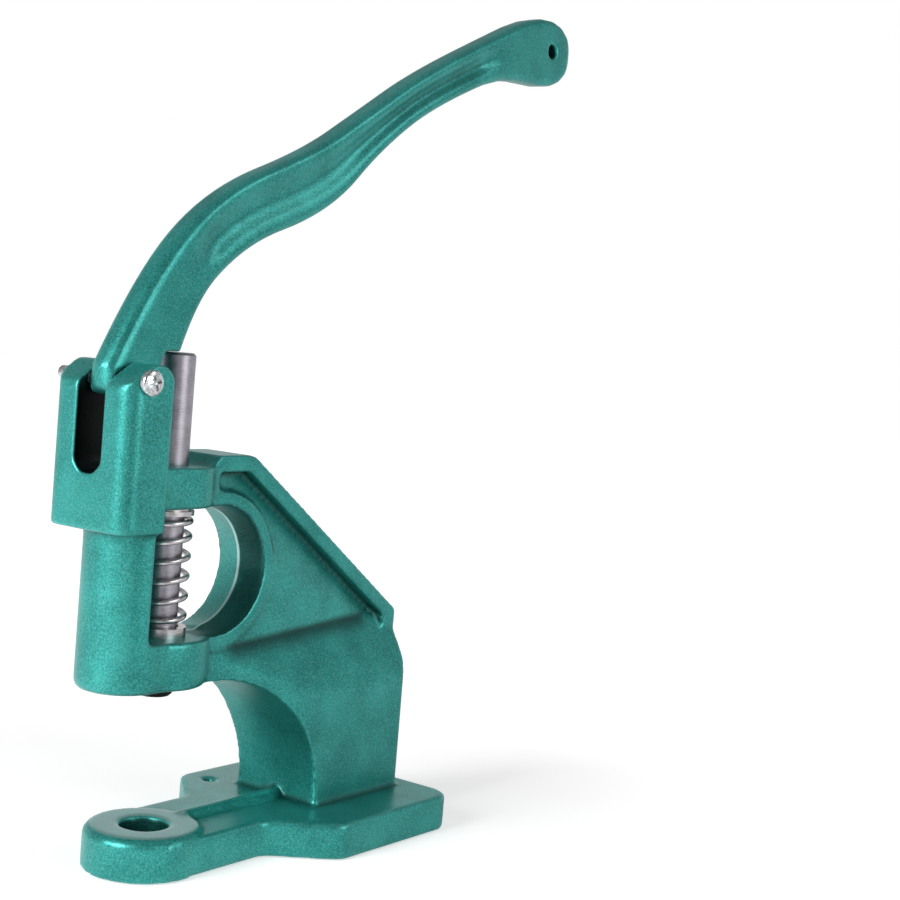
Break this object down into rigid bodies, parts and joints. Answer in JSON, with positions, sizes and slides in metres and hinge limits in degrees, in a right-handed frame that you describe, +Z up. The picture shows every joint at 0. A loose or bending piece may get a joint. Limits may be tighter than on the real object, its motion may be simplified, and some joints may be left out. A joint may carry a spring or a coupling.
{
  "type": "snap button press",
  "caption": "Hand lever press with a cast C-shaped frame, sprung ram and die socket, for setting snap buttons, eyelets and rivets.",
  "frame": {"origin": "on the die axis, in the plane of the base's underside", "axes": "+X from the front to the rear, +Z up along the ram, +Y across"},
  "size_m": [0.2451, 0.08, 0.3158],
  "materials": {
    "green_enamel": "metallic green hammered enamel on cast iron",
    "zinc": "bright zinc plate",
    "ram_steel": "turned steel, lightly oiled",
    "spring_steel": "drawn spring steel"
  },
  "bodies": {
    "frame_body": {"frame": "green_enamel", "pivot_screw": "zinc", "spring_seat": "spring_steel", "return_spring": "spring_steel"},
    "lever_body": {"lever": "green_enamel"},
    "ram_body": {"ram": "ram_steel", "spring_washer": "spring_steel", "retaining_ring": "spring_steel"}
  },
  "joints": [
    {"name": "lever_pivot", "type": "hinge", "parent": "frame_body", "child": "lever_body", "pos_m": [-0.0285, 0, 0.1612], "axis": [0, 1, 0], "range_deg": [0, 40]},
    {"name": "ram_slide", "type": "slide", "parent": "frame_body", "child": "ram_body", "axis": [0, 0, -1], "range_m": [0, 0.0194], "stiffness_N_per_m": 7000, "springref_m": -0.0052, "deforming": ["return_spring"]}
  ],
  "couplings": [
    {"joint": "ram_slide", "follows": "lever_pivot", "m_per_rad": 0.02762}
  ]
}
